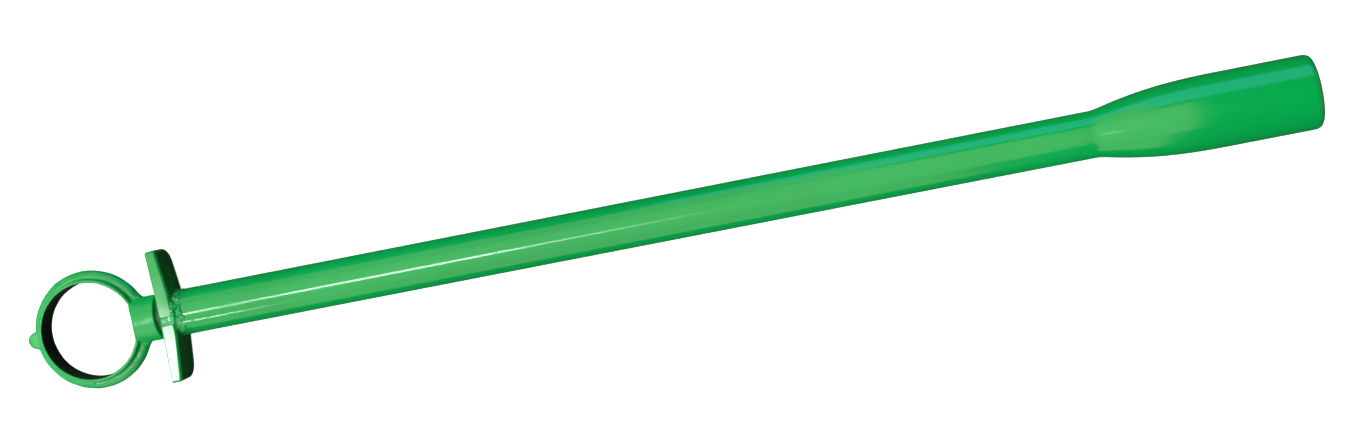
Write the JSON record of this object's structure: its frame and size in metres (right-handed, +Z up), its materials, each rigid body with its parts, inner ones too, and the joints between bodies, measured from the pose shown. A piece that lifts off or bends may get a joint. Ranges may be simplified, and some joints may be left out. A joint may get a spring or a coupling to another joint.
{
  "type": "post driver",
  "caption": "Long steel post driver: flared bell socket that strikes the post head, straight tube shaft, tapered cross bar and cast ring eye, welded and painted green.",
  "frame": {"origin": "middle of the driver's footprint, level with the underside of the bell", "axes": "+X along the tube from the ring to the bell, +Z up along the ring's hole, +Y along the upper wing of the cross bar"},
  "size_m": [1.1946, 0.1234, 0.067],
  "materials": {
    "green_paint": "gloss",
    "bare_steel": "worn"
  },
  "bodies": {
    "root": {"ring_casting": "green_paint", "wing_upper": "green_paint", "wing_lower": "green_paint", "seam_weld_front": "green_paint", "seam_weld_back": "green_paint", "neck_weld": "green_paint", "tube_weld": "green_paint", "main_tube": "green_paint", "bell_weld": "green_paint", "bell_socket": "green_paint", "striking_plate": "bare_steel", "plate_weld": "bare_steel"}
  },
  "joints": []
}
